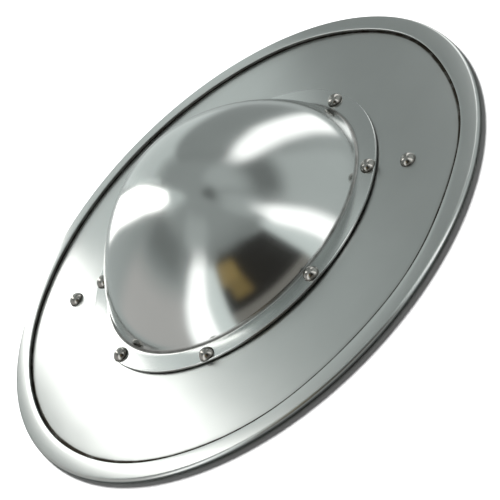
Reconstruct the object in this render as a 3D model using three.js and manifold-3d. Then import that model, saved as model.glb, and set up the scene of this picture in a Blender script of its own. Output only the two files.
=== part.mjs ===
// Buckler: a small round steel shield, dished, with a raised boss over the hand.
//
// Millimetres, +Z up. The origin is the centre of the plane that the rim rests on. +Z is the
// shield's axis, from the hand side to the striking side, and +X runs along the grip.
import * as THREE from 'three';
import { mergeVertices } from 'three/addons/utils/BufferGeometryUtils.js';
import Module from 'manifold-3d';

const wasm = await Module();
wasm.setup();

// ---- driving dimensions ------------------------------------------------------------------
const SHEET = 1.6;                    // 16-gauge steel: plate, boss and grip alike
const PLAY = 0.3;                     // left between two pieces that bear on each other

const OUTER_RADIUS = 152.5;           // a 12-inch shield
const HEM_INNER_RADIUS = 142.4;       // where the edge, folded on to the front, is cut off
const HEM_SLOT = 0.4;                 // between the folded edge and the plate, at the fold
const HEM_SINK = 0.1;                 // how far the folded edge is beaten down at its cut
const DISH_RADIUS = 145;              // the flat ring of the rim ends here and the dish begins
const DISH_RISE = 9.7;                // the dish's height at the axis, were it not holed
const HAND_HOLE_RADIUS = 77;

const BOSS_CENTRE = [1.6, 1.3];       // the boss sits a little off the plate's axis
const FLANGE_RADIUS = 92.75;
const FLANGE_EDGE_TOP = 9.5;          // top of the flange at its outer edge
const FLANGE_SLOPE = 0.062;           // rise towards the dome, for each millimetre
const FOOT_FILLET = 2.5;              // inside bend between flange and dome
const DOME_HEIGHT = 59.7;             // above the flange's edge
const DOME_FOOT_RADIUS = 81.7;
const DOME_CROWN_REACH = 26.4;        // how far the crown's level tangent is pulled out
const DOME_SHOULDER = [70.5, 31.1];   // radius and height that the steep flank bulges towards

const HEAD_RADIUS = 4.3;              // round-head rivets for a 3/16-inch shank
const HEAD_HEIGHT = 3.7;
const SHANK_RADIUS = 2.3;
const TAIL_RADIUS = 3.2;              // the end peened over on the hand side
const TAIL_THICKNESS = 0.9;
const DRILL_OVERRUN = 3;              // how far a drill goes past both ends of a stack

const BOSS_RIVET_COUNT = 8;
const BOSS_RIVET_RADIUS = 88.2;
// How far each boss rivet strayed from the even circle when it was drilled by hand:
// millimetres outwards, then degrees round.
const BOSS_RIVET_DRIFT = [
  [0.6, 0.4], [-0.7, 2.2], [0.2, 0.8], [0.3, -0.6],
  [0, 1.2], [0.6, 1.8], [0.9, 0.9], [-0.8, 0.4],
];

const GRIP_CENTRE = [1.3, -0.9];
const GRIP_RIVET_REACH = 111;         // from the grip's centre to each of its rivets
const GRIP_END_REACH = 121.5;         // to the round tip of each foot
const GRIP_FOOT_REACH = 82;           // inside this the strip leaves the plate
const GRIP_ROLL_START = 74;           // inside this its long edges begin to roll up
const GRIP_ROLL_REACH = 50;           // inside this they are rolled up all the way
const GRIP_LEVEL = 5.3;               // the strip's mid-thickness over the hand hole
const GRIP_HALF_WIDTH = 19;           // of the strip, before it is rolled
const GRIP_FOOT_HALF_WIDTH = 12;
const GRIP_ROLL_RADIUS = 10.5;
const GRIP_PLAY = 0.4;                // between foot and plate, whose curve it doesn't share

const STEEL = { color: 0x8b918f, roughness: 0.34, metalness: 1 };
const POLISHED_STEEL = { color: 0xb9bdbc, roughness: 0.16, metalness: 1 };

// ---- fineness ----------------------------------------------------------------------------
const PLATE_SIDES = 72;
const BOSS_SIDES = 48;
const RIVET_SIDES = 10;
const BEND_STEPS = 4;
const DISH_STEPS = 5;
const DOME_STEPS = 8;
const FILLET_STEPS = 3;
const TIP_STEPS = 4;
const HEAD_STEPS = 4;
const ROLL_STEPS = 6;
const GRIP_MIDDLE_STEP = 25;          // between the strip's ribs where its shape is even
const GRIP_TAPER_STEP = 6;            // between its ribs where it narrows and flattens
const TIP_TURN = 80;                  // degrees round the tip at which the strip is cut off
const FLATTEST_ROLL = 0.001;          // of a full roll, as good as flat
const SLIDE_STEP = 0.002;             // of the dome's curve, in the search for its foot
const WELD_GAP = 0.0001;              // corners nearer than this are one

// ---- helpers -----------------------------------------------------------------------------
const smoothstep = (low, high, value) => THREE.MathUtils.smoothstep(value, low, high);

/** Revolves [radius, height] points round the Z axis. */
function revolve(points, sides) {
  const profile = points.map(([radius, height]) => new THREE.Vector2(radius, height));
  return new THREE.LatheGeometry(profile, sides).rotateX(Math.PI / 2);
}

/** Points on a round bend in the profile plane, from one angle to another, in degrees. */
function bend(centre, radius, from, to, steps) {
  return Array.from({ length: steps + 1 }, (_, step) => {
    const angle = THREE.MathUtils.degToRad(from + (to - from) * step / steps);
    return [centre[0] + radius * Math.cos(angle), centre[1] + radius * Math.sin(angle)];
  });
}

/** Turns a closed three.js geometry into a solid that can be cut. */
function toSolid(geometry) {
  const bare = geometry.clone();
  bare.deleteAttribute('normal');
  bare.deleteAttribute('uv');
  const merged = mergeVertices(bare, WELD_GAP);
  const mesh = new wasm.Mesh({
    numProp: 3,
    vertProperties: new Float32Array(merged.attributes.position.array),
    triVerts: new Uint32Array(merged.index.array),
  });
  mesh.merge();
  return new wasm.Manifold(mesh);
}

/** Turns a solid back into a three.js geometry. */
function toGeometry(solid) {
  const mesh = solid.getMesh();
  const geometry = new THREE.BufferGeometry();
  geometry.setAttribute('position', new THREE.BufferAttribute(mesh.vertProperties, 3));
  geometry.setIndex(new THREE.BufferAttribute(mesh.triVerts, 1));
  geometry.computeVertexNormals();
  return geometry;
}

/** Cuts every one of the tools out of a geometry. */
function cut(geometry, tools) {
  const solid = tools.reduce((rest, tool) => rest.subtract(toSolid(tool)), toSolid(geometry));
  return toGeometry(solid);
}

function named(name, geometry, look) {
  const mesh = new THREE.Mesh(geometry, new THREE.MeshStandardMaterial(look));
  mesh.name = name;
  return mesh;
}

// ---- plate -------------------------------------------------------------------------------
const dishTop = (radius) => SHEET + DISH_RISE * (1 - (radius / DISH_RADIUS) ** 2);
const dishUnder = (radius) => dishTop(radius) - SHEET;
const dishSlope = (radius) => 2 * DISH_RISE * radius / DISH_RADIUS ** 2;

/** The plate and the edge folded over on it, which are one sheet. */
function plateGeometry() {
  const hemHeight = 2 * SHEET + HEM_SLOT;
  const fold = [OUTER_RADIUS - hemHeight / 2, hemHeight / 2];
  const radii = Array.from({ length: DISH_STEPS + 1 }, (_, step) =>
    HAND_HOLE_RADIUS + (DISH_RADIUS - HAND_HOLE_RADIUS) * step / DISH_STEPS);
  const cutHeight = dishTop(HEM_INNER_RADIUS) + HEM_SLOT - HEM_SINK;
  const under = radii.map((radius) => [radius, dishUnder(radius)]);
  const top = radii.map((radius) => [radius, dishTop(radius)]).reverse();
  return revolve([
    ...under,
    ...bend(fold, hemHeight / 2, -90, 90, BEND_STEPS),
    [HEM_INNER_RADIUS, cutHeight + SHEET],
    [HEM_INNER_RADIUS, cutHeight],
    ...bend(fold, HEM_SLOT / 2, 90, -90, BEND_STEPS / 2),
    ...top,
    under[0],
  ], PLATE_SIDES);
}

// ---- boss --------------------------------------------------------------------------------
const flangeTop = (radius) => FLANGE_EDGE_TOP + FLANGE_SLOPE * (FLANGE_RADIUS - radius);

/** The outer face of the boss from its crown to the flange's edge. */
function bossOuterProfile() {
  const flank = new THREE.CubicBezierCurve(
    new THREE.Vector2(0, DOME_HEIGHT),
    new THREE.Vector2(DOME_CROWN_REACH, DOME_HEIGHT),
    new THREE.Vector2(...DOME_SHOULDER),
    new THREE.Vector2(DOME_FOOT_RADIUS, 0),
  );
  // The fillet's centre stands FOOT_FILLET off both the flange and the flank, so it is found
  // by sliding down the flank until the flange is that near.
  let share = 1;
  let centre;
  let steepness;
  do {
    share -= SLIDE_STEP;
    const touch = flank.getPoint(share);
    const tangent = flank.getTangent(share);
    steepness = Math.atan2(-tangent.y, tangent.x);
    centre = [
      touch.x + FOOT_FILLET * Math.sin(steepness),
      touch.y + FLANGE_EDGE_TOP + FOOT_FILLET * Math.cos(steepness),
    ];
  } while (centre[1] < flangeTop(centre[0]) + FOOT_FILLET);
  const dome = Array.from({ length: DOME_STEPS }, (_, step) => {
    const point = flank.getPoint(share * step / DOME_STEPS);
    return [point.x, point.y + FLANGE_EDGE_TOP];
  });
  const flankSide = 270 - THREE.MathUtils.radToDeg(steepness);
  const flangeSide = 270 - THREE.MathUtils.radToDeg(Math.atan(FLANGE_SLOPE));
  return [
    ...dome,
    ...bend(centre, FOOT_FILLET, flankSide, flangeSide, FILLET_STEPS),
    [FLANGE_RADIUS, FLANGE_EDGE_TOP],
  ];
}

/** The same line, one sheet's thickness further in. */
function innerProfile(outer) {
  return outer.map((point, index) => {
    const before = outer[Math.max(index - 1, 0)];
    const after = outer[Math.min(index + 1, outer.length - 1)];
    const along = new THREE.Vector2(after[0] - before[0], after[1] - before[1]).normalize();
    const inwards = index === 0 ? new THREE.Vector2(0, -1) : new THREE.Vector2(along.y, -along.x);
    return [point[0] + SHEET * inwards.x, point[1] + SHEET * inwards.y];
  });
}

function bossGeometry() {
  const outer = bossOuterProfile();
  const profile = [...innerProfile(outer), ...outer.reverse()];
  return revolve(profile, BOSS_SIDES).translate(...BOSS_CENTRE, 0);
}

// ---- rivets ------------------------------------------------------------------------------
/** A rivet along Z whose head bears at height 0, closed round a stack of sheets. */
function rivetGeometry(stack) {
  const capRadius = (HEAD_RADIUS ** 2 + HEAD_HEIGHT ** 2) / (2 * HEAD_HEIGHT);
  const capCentre = [0, HEAD_HEIGHT - capRadius];
  const edge = THREE.MathUtils.radToDeg(Math.asin(-capCentre[1] / capRadius));
  const tailTop = -stack;
  const tailBottom = tailTop - TAIL_THICKNESS;
  return revolve([
    [0, tailBottom],
    [TAIL_RADIUS - TAIL_THICKNESS / 2, tailBottom],
    [TAIL_RADIUS, tailTop],
    [SHANK_RADIUS, tailTop],
    [SHANK_RADIUS, 0],
    ...bend(capCentre, capRadius, edge, 90, HEAD_STEPS).slice(0, -1),
    [0, HEAD_HEIGHT],
  ], RIVET_SIDES);
}

/** The hole for a rivet's shank, drilled along Z through a stack of sheets. */
function drillGeometry(stack) {
  const radius = SHANK_RADIUS + PLAY;
  const drill = new THREE.CylinderGeometry(radius, radius, stack + 2 * DRILL_OVERRUN, RIVET_SIDES);
  return drill.rotateX(Math.PI / 2).translate(0, 0, -stack / 2);
}

/** Stands a geometry on its seat, square to the dish there. */
function standOnDish(geometry, { place, bearing }) {
  const outwards = Math.atan2(place[1], place[0]);
  const tilt = Math.atan(dishSlope(Math.hypot(...place)));
  return geometry
    .rotateZ(-outwards)
    .rotateY(tilt)
    .rotateZ(outwards)
    .translate(place[0], place[1], bearing);
}

// A rivet's seat: where it stands, the height its head bears at, and the stack it closes.
// The two boss rivets on the grip's line close its feet in as well.
const closesGrip = (index) => index % (BOSS_RIVET_COUNT / 2) === 0;

const bossRivetSeats = BOSS_RIVET_DRIFT.map(([outwards, degrees], index) => {
  const angle = THREE.MathUtils.degToRad(360 * index / BOSS_RIVET_COUNT + degrees);
  const radius = BOSS_RIVET_RADIUS + outwards;
  const place = [
    BOSS_CENTRE[0] + radius * Math.cos(angle),
    BOSS_CENTRE[1] + radius * Math.sin(angle),
  ];
  const bearing = flangeTop(radius) + PLAY;
  const footStack = closesGrip(index) ? GRIP_PLAY + SHEET : 0;
  const stack = bearing - dishUnder(Math.hypot(...place)) + footStack + PLAY;
  return { place, bearing, stack };
});

const footRivetSeats = [1, -1].map((side) => {
  const place = [GRIP_CENTRE[0] + side * GRIP_RIVET_REACH, GRIP_CENTRE[1]];
  const bearing = dishTop(Math.hypot(...place)) + PLAY;
  return { place, bearing, stack: PLAY + SHEET + GRIP_PLAY + SHEET + PLAY };
});

const gripSeats = [...bossRivetSeats.filter((_, index) => closesGrip(index)), ...footRivetSeats];

const rivets = (seats, name) => seats.map((seat, index) =>
  named(`${name}_${index + 1}`, standOnDish(rivetGeometry(seat.stack), seat), POLISHED_STEEL));

const drills = (seats) => seats.map((seat) => standOnDish(drillGeometry(seat.stack), seat));

// ---- grip --------------------------------------------------------------------------------
/** Half the strip's width at a reach from the grip's centre. */
function gripHalfWidth(reach) {
  const narrowing = smoothstep(GRIP_ROLL_REACH, GRIP_FOOT_REACH, reach);
  const intoTip = reach - (GRIP_END_REACH - GRIP_FOOT_HALF_WIDTH);
  if (intoTip > 0) return Math.sqrt(GRIP_FOOT_HALF_WIDTH ** 2 - intoTip ** 2);
  return THREE.MathUtils.lerp(GRIP_HALF_WIDTH, GRIP_FOOT_HALF_WIDTH, narrowing);
}

/** Height of the strip's mid-thickness along its middle line. */
function gripHeight(reach) {
  const againstPlate = dishUnder(reach) - GRIP_PLAY - SHEET / 2;
  const share = smoothstep(GRIP_ROLL_START, GRIP_FOOT_REACH, reach);
  return THREE.MathUtils.lerp(GRIP_LEVEL, againstPlate, share);
}

/** One rib across the strip: its two faces, from one long edge to the other. */
function gripRib(along) {
  const reach = Math.abs(along);
  const rolled = 1 - smoothstep(GRIP_ROLL_REACH, GRIP_ROLL_START, reach);
  const curl = Math.max(rolled, FLATTEST_ROLL) / GRIP_ROLL_RADIUS;
  const middle = gripHeight(reach);
  const faces = [[], []];
  for (let step = 0; step <= ROLL_STEPS; step += 1) {
    const angle = curl * gripHalfWidth(reach) * (2 * step / ROLL_STEPS - 1);
    [1, -1].forEach((side, face) => {
      const radius = 1 / curl + side * SHEET / 2;
      faces[face].push([
        GRIP_CENTRE[0] + along,
        GRIP_CENTRE[1] + radius * Math.sin(angle),
        middle + 1 / curl - radius * Math.cos(angle),
      ]);
    });
  }
  return [...faces[0], ...faces[1].reverse()];
}

/** A strip with round flat feet, its long edges rolled up towards the boss in the middle. */
function gripGeometry() {
  const half = [];
  for (let reach = 0; reach < GRIP_ROLL_REACH; reach += GRIP_MIDDLE_STEP) half.push(reach);
  for (let reach = GRIP_ROLL_REACH; reach < GRIP_FOOT_REACH; reach += GRIP_TAPER_STEP) {
    half.push(reach);
  }
  half.push(GRIP_FOOT_REACH);
  for (let step = 0; step <= TIP_STEPS; step += 1) {
    const angle = THREE.MathUtils.degToRad(TIP_TURN * step / TIP_STEPS);
    half.push(GRIP_END_REACH - GRIP_FOOT_HALF_WIDTH * (1 - Math.sin(angle)));
  }
  const stations = [...half.slice(1).reverse().map((reach) => -reach), ...half];
  const ribs = stations.map(gripRib);
  const around = ribs[0].length;
  const indices = [];
  for (let rib = 0; rib + 1 < ribs.length; rib += 1) {
    for (let corner = 0; corner < around; corner += 1) {
      const next = (corner + 1) % around;
      const [a, b] = [rib * around + corner, rib * around + next];
      indices.push(a, b, a + around, b, b + around, a + around);
    }
  }
  const last = (ribs.length - 1) * around;
  for (let corner = 0; corner < ROLL_STEPS; corner += 1) {
    const opposite = around - 1 - corner;
    indices.push(corner, opposite, corner + 1, corner + 1, opposite, opposite - 1);
    indices.push(last + corner, last + corner + 1, last + opposite);
    indices.push(last + corner + 1, last + opposite - 1, last + opposite);
  }
  const geometry = new THREE.BufferGeometry();
  geometry.setAttribute('position', new THREE.Float32BufferAttribute(ribs.flat(2), 3));
  geometry.setIndex(indices);
  return geometry;
}

// ---- the shield --------------------------------------------------------------------------
const group = new THREE.Group();
group.add(
  named('plate', cut(plateGeometry(), drills([...bossRivetSeats, ...footRivetSeats])), STEEL),
  named('boss', cut(bossGeometry(), drills(bossRivetSeats)), POLISHED_STEEL),
  named('grip', cut(gripGeometry(), drills(gripSeats)), STEEL),
  ...rivets(bossRivetSeats, 'boss_rivet'),
  ...rivets(footRivetSeats, 'grip_rivet'),
);

export default group;
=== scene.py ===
"""A riveted steel buckler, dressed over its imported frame.

Metres, +Z up, in the part's own frame: the origin is the centre of the plane the rim rests on,
+Z is the shield's axis and +X runs along the grip. Every visible piece is a finished mesh that
stands for the solid of the same place: the dished plate with its folded edge, the raised boss,
ten round-head rivets and the rolled grip behind.
"""
import math

import bmesh
import bpy
import numpy as np
from mathutils import Matrix, Vector


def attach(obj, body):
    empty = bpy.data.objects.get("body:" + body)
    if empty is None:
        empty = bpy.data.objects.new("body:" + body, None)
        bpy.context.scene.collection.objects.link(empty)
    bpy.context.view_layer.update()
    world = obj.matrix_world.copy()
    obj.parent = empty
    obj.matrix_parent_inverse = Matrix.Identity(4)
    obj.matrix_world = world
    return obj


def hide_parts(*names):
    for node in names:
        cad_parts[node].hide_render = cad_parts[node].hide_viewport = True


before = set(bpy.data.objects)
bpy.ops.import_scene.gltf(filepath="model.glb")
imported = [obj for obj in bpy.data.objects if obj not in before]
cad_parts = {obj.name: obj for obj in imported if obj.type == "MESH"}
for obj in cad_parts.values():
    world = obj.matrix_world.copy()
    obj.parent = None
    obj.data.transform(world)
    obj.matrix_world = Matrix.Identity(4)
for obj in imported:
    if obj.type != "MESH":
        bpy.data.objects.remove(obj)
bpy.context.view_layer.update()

MM = 0.001

# ---- driving dimensions, millimetres -------------------------------------------------------
SHEET = 1.6
OUTER_RADIUS = 152.5
HEM_INNER_RADIUS = 142.4
HEM_SLOT = 0.4
HEM_SINK = 0.1
DISH_RADIUS = 145
DISH_RISE = 9.7
HAND_HOLE_RADIUS = 77

BOSS_CENTRE = (1.6, 1.3)
FLANGE_RADIUS = 92.75
FLANGE_EDGE_TOP = 9.5
FLANGE_SLOPE = 0.062
FOOT_FILLET = 2.5
DOME_HEIGHT = 59.7
DOME_FOOT_RADIUS = 81.7
DOME_CROWN_REACH = 26.4
DOME_SHOULDER = (70.5, 31.1)

HEAD_RADIUS = 4.3
HEAD_HEIGHT = 3.7
SHANK_RADIUS = 2.3
TAIL_RADIUS = 3.2
TAIL_THICKNESS = 0.9

BOSS_RIVET_COUNT = 8
BOSS_RIVET_RADIUS = 88.2
BOSS_RIVET_DRIFT = (
    (0.6, 0.4), (-0.7, 2.2), (0.2, 0.8), (0.3, -0.6),
    (0, 1.2), (0.6, 1.8), (0.9, 0.9), (-0.8, 0.4),
)

GRIP_CENTRE = (1.3, -0.9)
GRIP_RIVET_REACH = 111
GRIP_END_REACH = 121.5
GRIP_FOOT_REACH = 82
GRIP_ROLL_START = 74
GRIP_ROLL_REACH = 50
GRIP_LEVEL = 5.3
GRIP_HALF_WIDTH = 19
GRIP_FOOT_HALF_WIDTH = 12
GRIP_ROLL_RADIUS = 10.5
GRIP_PLAY = 0.4

# ---- the maker's hand: how the finished pieces stray from the plain shapes -------------------
# The folded edge was cut by eye: waves round the rim, millimetres, and the degrees of a crest.
HEM_WANDER = ((1, 0.36, 170), (2, 0.70, -109), (3, 0.44, 120), (4, 0.14, -63), (8, 0.21, 59),
              (9, 0.21, 67), (10, 0.16, 56))
HEM_SHED = 10             # degrees that the folded edge slopes outwards at the fold
HEM_TUCK = 6              # degrees that it is beaten inwards at its cut
# A painted shade lies on the plate along the cut, in a line whose width changes round the rim.
SHADE_LINE_WIDTH = 1.7         # millimetres, on average
SHADE_LINE_SWING = 1.5         # and how much more it is where it is widest
SHADE_LINE_SIDE = 310          # degrees round to there
SHADE_LINE_HAZE = 0.14         # of the haze beside the line, where the line itself is 1
SHADE_LINE_STOPS = (-0.3, 0.15, 0.5, 0.9, 1.4, 1.9, 2.4, 2.9, 3.4, 4.2, 5.5)
ARRIS = 0.3               # radius that a cut edge is dressed to
# What the hammer and the grinder left: height and breadth in millimetres, and the random seed.
DISH_RIPPLE = (0.03, 34, 5)
DOME_RIPPLE = (0.02, 40, 11)
RIVET_LEAN = 0.02         # rise of a head's top across it, at most, for each millimetre
TAIL_OVAL = 0.05          # how far a peened tail is out of round

# ---- fineness of the meshes ----------------------------------------------------------------
PLATE_SIDES = 360
BOSS_SIDES = 320
RIVET_SIDES = 48
DISH_RINGS = 72
HEM_RINGS = 25
FOLD_STEPS = 28
DOME_RINGS = 70
FOOT_STEPS = 12
FLANGE_RINGS = 9
HEAD_RINGS = 18
GRIP_STEPS = 24
PIN_RADIUS = 0.05         # of the smallest ring, where a piece closes on its axis


# ---- profiles ------------------------------------------------------------------------------
def smoothstep(low, high, value):
    share = np.clip((value - low) / (high - low), 0, 1)
    return share * share * (3 - 2 * share)


def dish_top(radius):
    return SHEET + DISH_RISE * (1 - (radius / DISH_RADIUS) ** 2)


def dish_slope(radius):
    return 2 * DISH_RISE * radius / DISH_RADIUS ** 2


def flange_top(radius):
    return FLANGE_EDGE_TOP + FLANGE_SLOPE * (FLANGE_RADIUS - radius)


def bend(centre, radius, start, end, steps):
    """Points on a round bend in the profile plane, from one angle to another, in degrees."""
    angles = np.radians(np.linspace(start, end, steps + 1))
    return [(centre[0] + radius * math.cos(a), centre[1] + radius * math.sin(a)) for a in angles]


def line(start, end, steps):
    """Evenly spaced points from start up to, but not at, end."""
    shares = np.arange(steps) / steps
    return [(start[0] + (end[0] - start[0]) * s, start[1] + (end[1] - start[1]) * s)
            for s in shares]


def closed_run(points):
    """The profile without points that repeat the one before."""
    kept = [points[0]]
    for point in points[1:]:
        if math.dist(point[:2], kept[-1][:2]) > 1e-5:
            kept.append(point)
    if math.dist(kept[0][:2], kept[-1][:2]) <= 1e-5:
        kept.pop()
    return kept


# ---- meshes --------------------------------------------------------------------------------
def mesh_piece(name, corners, faces, material, painted_shade=None):
    """A smooth-shaded object from corners in millimetres, with the painted shade of each corner.
    """
    mesh = bpy.data.meshes.new(name)
    mesh.from_pydata((np.asarray(corners) * MM).tolist(), [], faces)
    mesh.validate()
    mesh.polygons.foreach_set("use_smooth", [True] * len(mesh.polygons))
    if painted_shade is not None:
        layer = mesh.attributes.new("painted_shade", "FLOAT", "POINT")
        layer.data.foreach_set("value", np.asarray(painted_shade, dtype=np.float32))
    mesh.materials.append(material)
    mesh.update()
    piece = bpy.data.objects.new(name, mesh)
    bpy.context.collection.objects.link(piece)
    return piece


def revolved(profile, sides, move=None, closed=True):
    """Corners, faces, radii and angles of a profile swept round Z.

    The profile is a loop, or runs from axis to axis. move(radius, height, angle, index) gives
    back the radius and the height that each corner really has."""
    radii = np.array([point[0] for point in profile], dtype=float)
    heights = np.array([point[1] for point in profile], dtype=float)
    angles = np.arange(sides) * 2 * math.pi / sides
    radius, angle = np.meshgrid(radii, angles, indexing="ij")
    height = np.repeat(heights[:, None], sides, axis=1)
    index = np.repeat(np.arange(len(profile))[:, None], sides, axis=1)
    if move is not None:
        radius, height = move(radius, height, angle, index)
    corners = np.stack([radius * np.cos(angle), radius * np.sin(angle), height], -1)
    rows = len(profile)
    faces = []
    for row in range(rows if closed else rows - 1):
        after = (row + 1) % rows
        for side in range(sides):
            beside = (side + 1) % sides
            faces.append((row * sides + side, row * sides + beside,
                          after * sides + beside, after * sides + side))
    corners = corners.reshape(-1, 3)
    if not closed:
        last = (rows - 1) * sides
        corners = np.vstack([corners, corners[:sides].mean(0), corners[last:].mean(0)])
        low, high = rows * sides, rows * sides + 1
        for side in range(sides):
            beside = (side + 1) % sides
            faces.append((low, beside, side))
            faces.append((high, last + side, last + beside))
    return corners, faces


def outward(piece):
    """Turns the faces of a closed piece so that they all point out of it."""
    form = bmesh.new()
    form.from_mesh(piece.data)
    bmesh.ops.recalc_face_normals(form, faces=form.faces)
    form.to_mesh(piece.data)
    form.free()
    return piece


def waves(angle, terms):
    return sum(size * np.cos(order * angle - math.radians(crest)) for order, size, crest in terms)


RIPPLE_WAVES = 14
RIPPLE_GAIN = 2.4         # brings the sum of the waves back to about +-1


def ripple(x, y, height, size, seed):
    """A smooth wander over the sheet, within about the height, with bumps as broad as size."""
    draw = np.random.default_rng(seed)
    total = np.zeros_like(x)
    for _ in range(RIPPLE_WAVES):
        turn = draw.uniform(0, 2 * math.pi)
        wave = 2 * math.pi / (size * draw.uniform(0.7, 1.9))
        total += np.sin(wave * (x * math.cos(turn) + y * math.sin(turn))
                        + draw.uniform(0, 2 * math.pi))
    return height * (total / RIPPLE_WAVES * RIPPLE_GAIN)


# ---- materials -----------------------------------------------------------------------------
# The colour of the painted shade in creases and under edges.
SHADE_COLOUR = (0.035, 0.028, 0.02)
CLOUD_SCALE = 22.0        # broad patches that the buffing wheel left
SMUDGE_SCALE = 120.0      # small patches that vary the roughness and mottle the painted shade
SCRATCH_SCALE = 3.0       # grinding marks: how fine they are,
SCRATCH_ROUND = 1.4       # how little they change round the axis,
SCRATCH_OUTWARDS = 900    # how closely they follow each other outwards
SCRATCH_UPWARDS = 500     # and upwards,
SCRATCH_DEPTH = 0.00002   # and how deep they are, in metres
TONE_SPREAD = (0.93, 1.06)
ROUGHNESS_SPREAD = 0.03
SHADE_ROUGHNESS = 0.35
def node(tree, kind, **settings):
    made = tree.nodes.new(kind)
    for name, value in settings.items():
        if name in made.bl_rna.properties:
            setattr(made, name, value)
        else:
            made.inputs[name].default_value = value
    return made


def steel(name, colour, roughness, grain, centre=(0, 0)):
    """Ground and buffed mild steel.

    grain is how strongly the marks round the axis show, and centre is where the axis is."""
    material = bpy.data.materials.new(name)
    material.use_nodes = True
    tree = material.node_tree
    link = tree.links.new
    shader = tree.nodes["Principled BSDF"]
    shader.inputs["Metallic"].default_value = 1
    place = node(tree, "ShaderNodeTexCoord").outputs["Object"]
    apart = node(tree, "ShaderNodeSeparateXYZ")
    link(place, apart.inputs[0])

    def maths(operation, first, second=None):
        made = node(tree, "ShaderNodeMath", operation=operation)
        for socket, value in zip(made.inputs, (first, second)):
            if value is None:
                continue
            if isinstance(value, (int, float)):
                socket.default_value = value
            else:
                link(value, socket)
        return made.outputs[0]

    # Where a point lies round the axis and out from it, with no seam.
    along = maths("SUBTRACT", apart.outputs["X"], centre[0] * MM)
    across = maths("SUBTRACT", apart.outputs["Y"], centre[1] * MM)
    reach = maths("SQRT", maths("ADD", maths("MULTIPLY", along, along),
                                maths("MULTIPLY", across, across)))
    safe = maths("MAXIMUM", reach, MM / 2)
    round_axis = node(tree, "ShaderNodeCombineXYZ")
    for socket, part in zip(round_axis.inputs, (along, across)):
        link(maths("MULTIPLY", maths("DIVIDE", part, safe), SCRATCH_ROUND), socket)
    outwards = maths("MULTIPLY", reach, SCRATCH_OUTWARDS)
    upwards = maths("MULTIPLY", apart.outputs["Z"], SCRATCH_UPWARDS)
    link(maths("ADD", outwards, upwards), round_axis.inputs["Z"])
    scratch = node(tree, "ShaderNodeTexNoise", Scale=SCRATCH_SCALE, Detail=4.0, Roughness=0.65)
    link(round_axis.outputs[0], scratch.inputs["Vector"])

    cloud = node(tree, "ShaderNodeTexNoise", Scale=CLOUD_SCALE, Detail=3.0, Roughness=0.55)
    link(place, cloud.inputs["Vector"])
    smudge = node(tree, "ShaderNodeTexNoise", Scale=SMUDGE_SCALE, Detail=5.0, Roughness=0.6)
    link(place, smudge.inputs["Vector"])

    # Painted shade: a share at each corner darkens the steel where shade falls, mottled by the
    # smudge noise, and roughens it.
    painted_shade = node(tree, "ShaderNodeAttribute", attribute_name="painted_shade").outputs["Fac"]
    patchy_shade = maths("MULTIPLY", painted_shade, maths("ADD", maths("MULTIPLY", smudge.outputs["Fac"], 0.9),
                                            0.55))
    patchy_shade = maths("MINIMUM", patchy_shade, 1.0)

    tone = node(tree, "ShaderNodeMixRGB", blend_type="MIX")
    for socket, spread in zip(("Color1", "Color2"), TONE_SPREAD):
        tone.inputs[socket].default_value = (*[min(c * spread, 1) for c in colour], 1)
    link(cloud.outputs["Fac"], tone.inputs["Fac"])
    shade_mix = node(tree, "ShaderNodeMixRGB", blend_type="MIX")
    shade_mix.inputs["Color2"].default_value = (*SHADE_COLOUR, 1)
    link(patchy_shade, shade_mix.inputs["Fac"])
    link(tone.outputs[0], shade_mix.inputs["Color1"])
    link(shade_mix.outputs[0], shader.inputs["Base Color"])

    clouded = maths("MULTIPLY", cloud.outputs["Fac"], ROUGHNESS_SPREAD)
    smudged = maths("MULTIPLY", smudge.outputs["Fac"], ROUGHNESS_SPREAD)
    rough = maths("ADD", roughness - ROUGHNESS_SPREAD, maths("ADD", clouded, smudged))
    rough = maths("ADD", rough, maths("MULTIPLY", patchy_shade, SHADE_ROUGHNESS))
    link(rough, shader.inputs["Roughness"])

    bump = node(tree, "ShaderNodeBump", Strength=grain, Distance=SCRATCH_DEPTH)
    link(scratch.outputs["Fac"], bump.inputs["Height"])
    link(bump.outputs[0], shader.inputs["Normal"])
    return material


PLATE_STEEL = steel("plate_steel", (0.52, 0.54, 0.53), 0.3, 0.12)
BOSS_STEEL = steel("boss_steel", (0.58, 0.60, 0.59), 0.15, 0.12, BOSS_CENTRE)
RIVET_STEEL = steel("rivet_steel", (0.36, 0.35, 0.33), 0.2, 0.15)
GRIP_STEEL = steel("grip_steel", (0.52, 0.53, 0.52), 0.26, 0.35)


# ---- plate ---------------------------------------------------------------------------------
def hem_top_points(fold, top_radius):
    """The folded edge's upper face, from the fold to its cut: a low crown."""
    start = 90 - HEM_SHED
    radius = fold[0] + top_radius * math.cos(math.radians(start))
    height = fold[1] + top_radius * math.sin(math.radians(start))
    stops = np.linspace(radius, HEM_INNER_RADIUS + ARRIS, HEM_RINGS)
    shed = np.interp(stops, (HEM_INNER_RADIUS, HEM_INNER_RADIUS + 2.5, stops[0]),
                     (-HEM_TUCK, HEM_SHED * 0.4, HEM_SHED))
    points = [(radius, height)]
    for before, after, slope in zip(stops, stops[1:], shed[1:]):
        height += (before - after) * math.tan(math.radians(slope))
        points.append((after, height))
    return points


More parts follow.
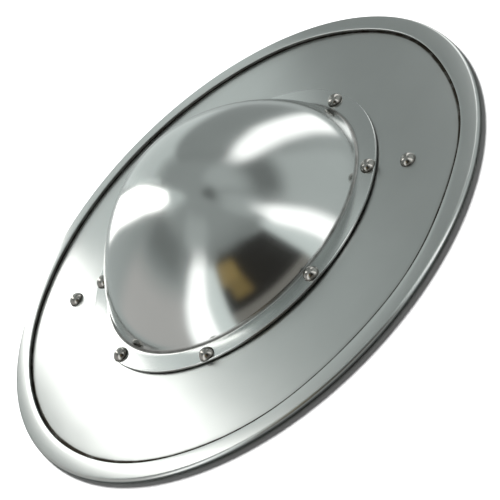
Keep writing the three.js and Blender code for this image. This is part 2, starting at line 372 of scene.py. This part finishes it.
def plate_piece():
    """The dished sheet and the edge folded over on it."""
    hem_height = 2 * SHEET + HEM_SLOT
    fold = (OUTER_RADIUS - hem_height / 2, hem_height / 2)
    inner = HEM_INNER_RADIUS
    dish = np.linspace(HAND_HOLE_RADIUS + ARRIS, DISH_RADIUS, DISH_RINGS)
    # Each point: radius, height, how much it follows the wander of the cut edge, painted shade,
    # and how far inwards from the cut it lies on the plate.
    run = []

    def add(points, follow=0.0, painted_shade=0.0, inwards=math.inf):
        run.extend((p[0], p[1], follow, painted_shade, inwards) for p in points)

    add([(r, dish_top(r) - SHEET) for r in dish])
    add(line((DISH_RADIUS, 0), (fold[0], 0), 4)[1:])
    add(bend(fold, hem_height / 2, -90, 90 - HEM_SHED, FOLD_STEPS))
    top = hem_top_points(fold, hem_height / 2)
    for radius, height in top[1:]:
        add([(radius, height)], (top[0][0] - radius) / (top[0][0] - inner))
    cut_top = top[-1][1]
    cut_bottom = dish_top(inner) + HEM_SLOT - HEM_SINK
    add(bend((inner + ARRIS, cut_top - ARRIS), ARRIS, 90 + HEM_TUCK, 180, 6)[1:], 1)
    # The cut face, the slot under the fold and the plate beside the fold get painted shade.
    add(line((inner, cut_top - ARRIS), (inner, cut_bottom + 0.1), 5)[1:], 1, 0.75)
    add([(inner, cut_bottom + 0.1), (inner + 0.1, cut_bottom)], 1, 1)
    add(line((inner + 0.4, cut_bottom), (fold[0], fold[1] + HEM_SLOT / 2), 6)[1:], 0.5, 1)
    add(bend(fold, HEM_SLOT / 2, 90, -90, 6), 0, 1)
    add([(DISH_RADIUS, dish_top(DISH_RADIUS))], 0, 1)
    add([(inner + 3, dish_top(inner + 3))], 0.4, 1)
    for inwards in SHADE_LINE_STOPS:
        add([(inner - inwards, dish_top(inner - inwards))], 1, 0, inwards)
    last = inner - SHADE_LINE_STOPS[-1]
    add([(r, dish_top(r)) for r in dish[::-1] if r < last - 1])
    rim = (HAND_HOLE_RADIUS + ARRIS, dish_top(HAND_HOLE_RADIUS) - ARRIS)
    add(bend(rim, ARRIS, 90, 180, 3))
    add(bend((rim[0], rim[1] - SHEET + 2 * ARRIS), ARRIS, 180, 270, 3))
    run = closed_run(run)
    follow, shaded, inwards = np.array(run).T[2:]

    def move(radius, height, angle, index):
        x, y = radius * np.cos(angle), radius * np.sin(angle)
        on_dish = (smoothstep(HAND_HOLE_RADIUS, HAND_HOLE_RADIUS + 6, radius)
                   * (1 - smoothstep(HEM_INNER_RADIUS - 10, HEM_INNER_RADIUS - 2, radius)))
        height = height + on_dish * ripple(x, y, *DISH_RIPPLE)
        strayed = follow[index] * waves(angle, HEM_WANDER)
        # What lies on the dish keeps to it as the edge wanders in and out.
        height = height - strayed * dish_slope(radius)
        return radius + strayed, height

    corners, faces = revolved(run, PLATE_SIDES, move)
    # The painted shade along the cut: a dark line whose width swings round the rim, and a faint
    # haze beside it.
    angle = np.arange(PLATE_SIDES) * 2 * math.pi / PLATE_SIDES
    width = SHADE_LINE_WIDTH + SHADE_LINE_SWING * np.cos(angle - math.radians(SHADE_LINE_SIDE))
    thick = smoothstep(width + 0.45, width - 0.25, inwards[:, None])
    thin = SHADE_LINE_HAZE * smoothstep(width + 3, width, inwards[:, None])
    painted_shade = np.maximum(shaded[:, None], np.maximum(thick, thin))
    return outward(mesh_piece("plate_skin", corners, faces, PLATE_STEEL, painted_shade.ravel()))


# ---- boss ----------------------------------------------------------------------------------
def flank_points():
    """The dome's outer line and slope angle, from the crown down, at fine steps."""
    share = np.linspace(0, 1, 1001)[:, None]
    knots = np.array([(0, DOME_HEIGHT), (DOME_CROWN_REACH, DOME_HEIGHT), DOME_SHOULDER,
                      (DOME_FOOT_RADIUS, 0)], dtype=float)
    point = ((1 - share) ** 3 * knots[0] + 3 * (1 - share) ** 2 * share * knots[1]
             + 3 * (1 - share) * share ** 2 * knots[2] + share ** 3 * knots[3])
    along = (3 * (1 - share) ** 2 * (knots[1] - knots[0])
             + 6 * (1 - share) * share * (knots[2] - knots[1])
             + 3 * share ** 2 * (knots[3] - knots[2]))
    point[:, 1] += FLANGE_EDGE_TOP
    return point, np.arctan2(-along[:, 1], along[:, 0])


def boss_outer():
    """The boss's outer face from crown to flange edge: radius, height, normal angle, painted
    shade.
    """
    point, steep = flank_points()
    centre = point + FOOT_FILLET * np.stack([np.sin(steep), np.cos(steep)], -1)
    clear = centre[:, 1] - flange_top(centre[:, 0]) - FOOT_FILLET
    last = int(np.argmax(clear < 0))
    rows = []
    for index in np.unique(np.round(np.linspace(0, last, DOME_RINGS)).astype(int)):
        rows.append((point[index, 0], point[index, 1], math.pi / 2 - steep[index], 0.0))
    flange_turn = math.atan(FLANGE_SLOPE)
    # Painted shade in the hollow of the fillet at the dome's foot.
    for turn in np.linspace(steep[last], flange_turn, FOOT_STEPS)[1:]:
        painted_shade = math.sin(math.pi * (steep[last] - turn) / (steep[last] - flange_turn)) * 0.7
        rows.append((centre[last, 0] - FOOT_FILLET * math.sin(turn),
                     centre[last, 1] - FOOT_FILLET * math.cos(turn), math.pi / 2 - turn, painted_shade))
    start = rows[-1][0]
    for radius in np.linspace(start, FLANGE_RADIUS - ARRIS, FLANGE_RINGS)[1:]:
        rows.append((radius, flange_top(radius), math.pi / 2 - flange_turn, 0.0))
    return rows


def boss_piece():
    """The raised boss and its flange, hollow."""
    outer = boss_outer()
    edge_radius = FLANGE_RADIUS - ARRIS
    top = flange_top(edge_radius)
    run = [(r, z, g) for r, z, _, g in outer]
    run += [(p[0], p[1], 0.0) for p in bend((edge_radius, top - ARRIS), ARRIS, 86, 0, 5)]
    # Painted shade on the flange's edge and under it, where it stands off the plate.
    run += [(FLANGE_RADIUS, top - SHEET / 2, 0.4)]
    run += [(p[0], p[1], 0.9) for p in
            bend((edge_radius, top - SHEET + ARRIS), ARRIS, 0, -90, 4)]
    inner = [(r - SHEET * math.cos(turn), z - SHEET * math.sin(turn), 0.0)
             for r, z, turn, _ in outer]
    run += inner[::-1]
    run[0] = (PIN_RADIUS, run[0][1], 0.0)
    run[-1] = (PIN_RADIUS, run[-1][1], 0.0)

    def move(radius, height, angle, index):
        x, y = radius * np.cos(angle), radius * np.sin(angle)
        dome = (1 - smoothstep(60, 78, radius)) * smoothstep(0.5, 10, radius)
        return radius, height + dome * ripple(x, y, *DOME_RIPPLE)

    corners, faces = revolved(run, BOSS_SIDES, move, closed=False)
    corners = corners + np.array([*BOSS_CENTRE, 0])
    painted_shade = np.concatenate([np.repeat([point[2] for point in run], BOSS_SIDES), [0, 0]])
    return outward(mesh_piece("boss_skin", corners, faces, BOSS_STEEL, painted_shade))


# ---- rivets --------------------------------------------------------------------------------
def rivet_seats():
    """Where each rivet stands, the height its head bears at, and the stack it closes."""
    seats = []
    for index, (outwards, degrees) in enumerate(BOSS_RIVET_DRIFT):
        angle = math.radians(360 * index / BOSS_RIVET_COUNT + degrees)
        radius = BOSS_RIVET_RADIUS + outwards
        place = (BOSS_CENTRE[0] + radius * math.cos(angle),
                 BOSS_CENTRE[1] + radius * math.sin(angle))
        bearing = flange_top(radius)
        closes_grip = index % (BOSS_RIVET_COUNT // 2) == 0
        foot = GRIP_PLAY + SHEET if closes_grip else 0
        stack = bearing - dish_top(math.hypot(*place)) + SHEET + foot
        seats.append((f"boss_rivet_{index + 1}", place, bearing, stack))
    for index, side in enumerate((1, -1)):
        place = (GRIP_CENTRE[0] + side * GRIP_RIVET_REACH, GRIP_CENTRE[1])
        seats.append((f"grip_rivet_{index + 1}", place, dish_top(math.hypot(*place)),
                      SHEET + GRIP_PLAY + SHEET))
    return seats


def rivet_piece(name, place, bearing, stack, seed):
    """A round-head rivet, its tail peened over behind."""
    draw = np.random.default_rng(seed)
    cap = (HEAD_RADIUS ** 2 + HEAD_HEIGHT ** 2) / (2 * HEAD_HEIGHT)
    middle = HEAD_HEIGHT - cap
    edge = math.degrees(math.asin(-middle / cap)) if middle < 0 else 0
    tail = -stack
    run = [(0.02, tail - TAIL_THICKNESS)]
    run += [(TAIL_RADIUS * share, tail - TAIL_THICKNESS * (1 - 0.35 * share ** 3))
            for share in (0.3, 0.55, 0.75, 0.88)]
    run += bend((TAIL_RADIUS - 0.35, tail - 0.3), 0.35, -40, 60, 4)
    run += [(SHANK_RADIUS, tail), (SHANK_RADIUS, 0.0), (HEAD_RADIUS - 0.35, 0.0)]
    run += [(HEAD_RADIUS - 0.12, 0.03), (HEAD_RADIUS, 0.16)]
    run += bend((0, middle), cap, edge + 4, 89.6, HEAD_RINGS)
    # Painted shade: darkest under the head and round its foot, fading up its side; the peened
    # tail is darkened a little.
    shaded = [0.9 if point[1] < 0.05 else 0.85 * (1 - min(point[1], 1.3) / 1.3) for point in run]
    shaded = [0.3 if point[1] < tail else painted_shade for point, painted_shade in zip(run, shaded)]

    lean = draw.uniform(-1, 1, 2) * RIVET_LEAN

    def move(radius, height, angle, index):
        oval = 1 + TAIL_OVAL * np.cos(2 * angle + draw.uniform(0, 6))
        radius = radius * np.where(height < tail, oval, 1)
        rise = radius * (lean[0] * np.cos(angle) + lean[1] * np.sin(angle))
        return radius, height + np.where(height > 0.5, rise, 0)

    corners, faces = revolved(run, RIVET_SIDES, move, closed=False)
    outwards = math.atan2(place[1], place[0])
    tilt = math.atan(dish_slope(math.hypot(*place)))
    turn = (Matrix.Rotation(outwards, 3, "Z") @ Matrix.Rotation(tilt, 3, "Y")
            @ Matrix.Rotation(-outwards, 3, "Z"))
    corners = corners @ np.array(turn).T + np.array([place[0], place[1], bearing])
    painted_shade = np.concatenate([np.repeat(shaded, RIVET_SIDES), [0, 0]])
    return outward(mesh_piece(f"{name}_skin", corners, faces, RIVET_STEEL, painted_shade))


# ---- grip ----------------------------------------------------------------------------------
def grip_half_width(reach):
    into_tip = reach - (GRIP_END_REACH - GRIP_FOOT_HALF_WIDTH)
    if into_tip > 0:
        return math.sqrt(max(GRIP_FOOT_HALF_WIDTH ** 2 - into_tip ** 2, 0.0))
    narrowing = smoothstep(GRIP_ROLL_REACH, GRIP_FOOT_REACH, reach)
    return GRIP_HALF_WIDTH + (GRIP_FOOT_HALF_WIDTH - GRIP_HALF_WIDTH) * narrowing


def grip_height(reach):
    against = dish_top(reach) - SHEET - GRIP_PLAY - SHEET / 2
    share = smoothstep(GRIP_ROLL_START, GRIP_FOOT_REACH, reach)
    return GRIP_LEVEL + (against - GRIP_LEVEL) * share


def grip_piece():
    """A strip with round flat feet, its long edges rolled up towards the boss."""
    half = list(np.linspace(0, GRIP_ROLL_REACH, 11)[:-1])
    half += list(np.linspace(GRIP_ROLL_REACH, GRIP_FOOT_REACH, 26)[:-1])
    half += list(np.linspace(GRIP_FOOT_REACH, GRIP_END_REACH - GRIP_FOOT_HALF_WIDTH, 12)[:-1])
    half += [GRIP_END_REACH - GRIP_FOOT_HALF_WIDTH * (1 - math.sin(math.radians(a)))
             for a in np.linspace(0, 84, 15)]
    stations = [-reach for reach in half[:0:-1]] + half
    ribs = []
    for along in stations:
        reach = abs(along)
        rolled = 1 - smoothstep(GRIP_ROLL_REACH, GRIP_ROLL_START, reach)
        curl = max(rolled, 0.001) / GRIP_ROLL_RADIUS
        angles = curl * grip_half_width(reach) * np.linspace(-1, 1, GRIP_STEPS + 1)
        faces = []
        for side in (1, -1):
            radius = 1 / curl + side * SHEET / 2
            faces.append(np.stack([
                np.full(GRIP_STEPS + 1, GRIP_CENTRE[0] + along),
                GRIP_CENTRE[1] + radius * np.sin(angles),
                grip_height(reach) + 1 / curl - radius * np.cos(angles),
            ], -1))
        ribs.append(np.vstack([faces[0], faces[1][::-1]]))
    around = 2 * (GRIP_STEPS + 1)
    corners = np.vstack(ribs)
    faces = []
    for rib in range(len(ribs) - 1):
        for corner in range(around):
            beside = (corner + 1) % around
            a, b = rib * around + corner, rib * around + beside
            faces.append((a, a + around, b + around, b))
    for first in (0, (len(ribs) - 1) * around):
        for corner in range(GRIP_STEPS):
            opposite = around - 1 - corner
            faces.append((first + corner, first + corner + 1, first + opposite - 1,
                          first + opposite))
    piece = outward(mesh_piece("grip_skin", corners, faces, GRIP_STEEL, np.zeros(len(corners))))
    rounding = piece.modifiers.new("dressed_edges", "BEVEL")
    rounding.width = 0.35 * MM
    rounding.segments = 3
    rounding.limit_method = "ANGLE"
    rounding.angle_limit = math.radians(50)
    return piece


def place_piece(piece, stands_for):
    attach(piece, "root")
    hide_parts(stands_for)


place_piece(plate_piece(), "plate")
place_piece(boss_piece(), "boss")
place_piece(grip_piece(), "grip")
for number, seat in enumerate(rivet_seats()):
    place_piece(rivet_piece(*seat, seed=number), seat[0])


# ---- the studio ----------------------------------------------------------------------------
# A round light tent stands about the shield. It shows in the steel alone. What glows on its wall
# is told by degrees round, from +X, and degrees up, as seen from the middle of the floor.
TENT_RADIUS = 0.34
TENT_TOP = 84             # degrees up at which the wall meets the roof
WHITE = (1.0, 1.0, 0.99)
LAMP = (1.0, 0.99, 0.965)
CLOTH = (0.93, 1.0, 0.98)
WARM = (1.0, 0.975, 0.95)
GLOOM = (1.0, 0.95, 0.86)
GOLD = (1.0, 0.72, 0.28)

# The floor as the steel sees it, a painted reflection: (millimetres out from the rim,
# brightness). The dark close to the rim is a painted shadow of the rim.
FLOOR_GLOW = ((0.5, 0.06), (8, 0.34), (26, 0.52), (100, 0.55), (187, 0.55))
# The cloth between the lamps: (degrees up, brightness).
CLOTH_GLOW = ((-25, 0.50), (0, 0.52), (20, 0.50), (40, 0.42), (55, 0.30), (68, 0.40), (90, 0.42))
# Lamps and openings: the edges as (up, from, to), the soft degrees at the from side, the to side,
# the bottom and the top, the tint and the brightness.
FIELDS = (
    # The cloth's own lighter and darker stretches.
    (((0, 0, 46), (45, 0, 44)), (12, 12, 14, 14), CLOTH, 0.62),
    (((45, 6, 46), (58, 8, 44)), (16, 14, 12, 10), CLOTH, 0.22),
    (((62, 8, 60), (80, 20, 70)), (30, 20, 14, 10), CLOTH, 0.56),
    (((0, 84, 104), (60, 70, 110)), (14, 10, 14, 14), CLOTH, 0.36),
    (((58, 236, 262), (76, 225, 275)), (14, 14, 10, 10), CLOTH, 0.55),
    (((54, 336, 358), (76, 325, 365)), (12, 14, 10, 10), CLOTH, 0.55),
    (((-10, 106, 140), (56, 112, 150)), (10, 8, 18, 26), CLOTH, 0.80),
    (((-5, 176, 236), (34, 186, 236)), (14, 6, 18, 18), WARM, 0.62),
    (((44, 190, 232), (60, 190, 226)), (14, 14, 16, 10), CLOTH, 0.24),
    (((64, 160, 196), (80, 170, 196)), (10, 16, 10, 8), CLOTH, 0.80),
    # Four tall lamps, two with a paler strip of frame beside them.
    (((0, 62, 80), (15, 60, 77), (30, 56, 74.5), (45, 50, 68), (57, 46, 60)),
     (11, 9, 5, 16), WHITE, 2.0),
    (((0, 138, 142), (60, 152, 158)), (8, 3, 4, 4), CLOTH, 0.95),
    (((0, 140, 142), (60, 159, 162)), (1.5, 1.5, 4, 4), CLOTH, 0.45),
    (((-1, 142, 152.5), (4, 143.5, 154), (15, 146.5, 158), (30, 150.5, 166), (45, 156, 174),
      (60, 163, 184), (67, 168, 184)), (2, 5, 4, 6), LAMP, 3.9),
    (((0, 237, 256), (15, 236.5, 256), (30, 237, 255), (45, 241, 257), (55, 245, 261)),
     (8, 2, 4, 18), WHITE, 2.0),
    (((0, 256, 268), (30, 255, 268), (50, 258, 268)), (2, 2, 5, 8), CLOTH, 1.0),
    (((0, 329, 342), (30, 329, 341), (52, 330, 338)), (2, 2, 5, 8), CLOTH, 0.92),
    (((0, 342, 357), (15, 342, 357), (30, 341, 357), (45, 338, 355), (56, 341, 352)),
     (2, 9, 4, 18), WHITE, 2.0),
    # The tent's dark opening, with warm things beyond it and its sill.
    (((15, 268, 329), (49, 268, 328), (55, 275, 306)), (2, 3, 3, 7), GLOOM, 0.03),
    (((36, 269, 287), (50, 269, 287)), (3, 4, 5, 5), GOLD, 0.36),
    (((25, 276, 290), (38, 274, 288)), (4, 5, 6, 5), GOLD, 0.26),
    (((-5, 268, 329), (17, 268, 329)), (2, 2, 4, 5), GLOOM, 0.26),
    # A dark patch near the top of the roof.
    (((80, 340, 395), (88, 330, 405)), (20, 20, 5, 5), CLOTH, 0.16),
)


def tent_light(azimuth, elevation):
    """The tent's brightness, as red, green and blue, at degrees round and up."""
    base = np.interp(elevation, *zip(*CLOTH_GLOW))
    light = base[..., None] * np.array(CLOTH)
    for edges, (soft_from, soft_to, soft_bottom, soft_top), tint, brightness in FIELDS:
        ups = [edge[0] for edge in edges]
        start = np.interp(elevation, ups, [edge[1] for edge in edges])
        end = np.interp(elevation, ups, [edge[2] for edge in edges])
        middle, half = (start + end) / 2, (end - start) / 2
        aside = (azimuth - middle + 180) % 360 - 180
        share = smoothstep(-half - soft_from / 2, -half + soft_from / 2, aside)
        share = share * smoothstep(half + soft_to / 2, half - soft_to / 2, aside)
        share = share * smoothstep(ups[0] - soft_bottom / 2, ups[0] + soft_bottom / 2, elevation)
        share = share * smoothstep(ups[-1] + soft_top / 2, ups[-1] - soft_top / 2, elevation)
        light = light + share[..., None] * (brightness * np.array(tint) - light)
    return light


def only_in_reflections(piece):
    piece.visible_camera = False
    piece.visible_diffuse = False
    piece.visible_shadow = False
    piece.visible_transmission = False
    piece.visible_volume_scatter = False


def bands(rows, columns):
    """The faces of a sheet that closes on itself round the axis."""
    return [(row * columns + side, row * columns + (side + 1) % columns,
             (row + 1) * columns + (side + 1) % columns, (row + 1) * columns + side)
            for row in range(rows - 1) for side in range(columns)]


def glowing(name, corners, faces, light):
    """A sheet that gives off the light of each of its corners."""
    mesh = bpy.data.meshes.new(name)
    mesh.from_pydata(corners.tolist(), [], faces)
    layer = mesh.attributes.new("light", "FLOAT_COLOR", "POINT")
    rgba = np.concatenate([light, np.ones((len(light), 1))], -1)
    layer.data.foreach_set("color", rgba.astype(np.float32).ravel())
    material = bpy.data.materials.new(name)
    material.use_nodes = True
    tree = material.node_tree
    tree.nodes.clear()
    lamp = node(tree, "ShaderNodeEmission", Strength=1.0)
    out = node(tree, "ShaderNodeOutputMaterial")
    tree.links.new(node(tree, "ShaderNodeAttribute", attribute_name="light").outputs["Color"],
                   lamp.inputs["Color"])
    tree.links.new(lamp.outputs[0], out.inputs[0])
    material.cycles.emission_sampling = "NONE"
    mesh.materials.append(material)
    sheet = bpy.data.objects.new(name, mesh)
    bpy.context.collection.objects.link(sheet)
    only_in_reflections(sheet)


def light_tent():
    """The tent's wall and its flat roof."""
    across = np.arange(0, 360, 0.5)
    lowest = CLOTH_GLOW[0][0]
    up = np.concatenate([np.arange(lowest, TENT_TOP, 0.75), np.linspace(TENT_TOP, 89.9, 12)])
    roof = TENT_RADIUS * math.tan(math.radians(TENT_TOP))
    elevation, azimuth = np.meshgrid(up, across, indexing="ij")
    slope = np.tan(np.radians(elevation))
    on_wall = elevation <= TENT_TOP
    reach = np.where(on_wall, TENT_RADIUS, roof / np.where(on_wall, 1, slope))
    height = np.where(on_wall, TENT_RADIUS * slope, roof)
    turn = np.radians(azimuth)
    corners = np.stack([reach * np.cos(turn), reach * np.sin(turn), height], -1).reshape(-1, 3)
    light = tent_light(azimuth, elevation).reshape(-1, 3)
    glowing("light_tent", corners, bands(len(up), len(across)), light)


def painted_floor_reflection():
    """The floor round the rim as the steel sees it, a painted reflection: duller than the wall,
    with a painted shadow of the rim close by.
    """
    rings = (OUTER_RADIUS + np.array([out for out, _ in FLOOR_GLOW])) * MM
    across = np.radians(np.arange(0, 360, 3))
    reach, turn = np.meshgrid(rings, across, indexing="ij")
    corners = np.stack([reach * np.cos(turn), reach * np.sin(turn),
                        np.full_like(reach, 0.1 * MM)], -1).reshape(-1, 3)
    columns = len(across)
    glow = np.repeat([shine for _, shine in FLOOR_GLOW], columns)[:, None] * np.array(CLOTH)
    glowing("painted_floor_reflection", corners, bands(len(rings), columns), glow)


light_tent()
painted_floor_reflection()


def floor():
    """A plain white floor under the shield."""
    material = bpy.data.materials.new("studio_floor")
    material.use_nodes = True
    shader = material.node_tree.nodes["Principled BSDF"]
    shader.inputs["Base Color"].default_value = (0.9, 0.9, 0.9, 1)
    shader.inputs["Roughness"].default_value = 0.9
    shader.inputs["Specular IOR Level"].default_value = 0.0
    mesh = bpy.data.meshes.new("studio_floor")
    reach = 6.0
    mesh.from_pydata([(x * reach, y * reach, 0) for x, y in
                      ((-1, -1), (1, -1), (1, 1), (-1, 1))], [], [(0, 1, 2, 3)])
    mesh.materials.append(material)
    ground = bpy.data.objects.new("studio_floor", mesh)
    bpy.context.collection.objects.link(ground)


floor()


def far_light(name, azimuth, elevation, spread, strength):
    """A soft light from far off, which doesn't show in the steel."""
    data = bpy.data.lights.new(name, "SUN")
    data.angle = math.radians(spread)
    data.energy = strength
    lamp = bpy.data.objects.new(name, data)
    bpy.context.collection.objects.link(lamp)
    a, e = math.radians(azimuth), math.radians(elevation)
    towards = Vector((math.cos(a) * math.cos(e), math.sin(a) * math.cos(e), math.sin(e)))
    lamp.rotation_euler = towards.to_track_quat("Z", "Y").to_euler()
    lamp.visible_glossy = False


far_light("back_light", 128, 29, 18, 10.5)
far_light("fill_light", 128, 80, 80, 0.35)

world = bpy.data.worlds.new("studio")
bpy.context.scene.world = world
world.use_nodes = True
world.node_tree.nodes["Background"].inputs["Color"].default_value = (1, 1, 1, 1)
world.node_tree.nodes["Background"].inputs["Strength"].default_value = 1.0
world.cycles_visibility.diffuse = False


# ---- camera --------------------------------------------------------------------------------
CAMERA_AIM = Vector((0.00965, -0.0118, 0.0))
CAMERA_AZIMUTH = -51.82
CAMERA_ELEVATION = 32.10
CAMERA_DISTANCE = 1.1183
CAMERA_ROLL = -45.28
CAMERA_LENS = 154.07


def camera():
    a, e = math.radians(CAMERA_AZIMUTH), math.radians(CAMERA_ELEVATION)
    back = Vector((math.cos(a) * math.cos(e), math.sin(a) * math.cos(e), math.sin(e)))
    right = Vector((0, 0, 1)).cross(back).normalized()
    up = back.cross(right)
    roll = math.radians(CAMERA_ROLL)
    across = right * math.cos(roll) + up * math.sin(roll)
    upright = up * math.cos(roll) - right * math.sin(roll)
    data = bpy.data.cameras.new("camera")
    data.lens = CAMERA_LENS
    data.clip_start, data.clip_end = 0.05, 50
    eye = bpy.data.objects.new("camera", data)
    bpy.context.collection.objects.link(eye)
    place = Matrix((across, upright, back)).transposed().to_4x4()
    place.translation = CAMERA_AIM + back * CAMERA_DISTANCE
    eye.matrix_world = place
    bpy.context.scene.camera = eye


camera()

scene = bpy.context.scene
scene.view_settings.view_transform = "Standard"
scene.view_settings.look = "None"

bpy.context.view_layer.update()
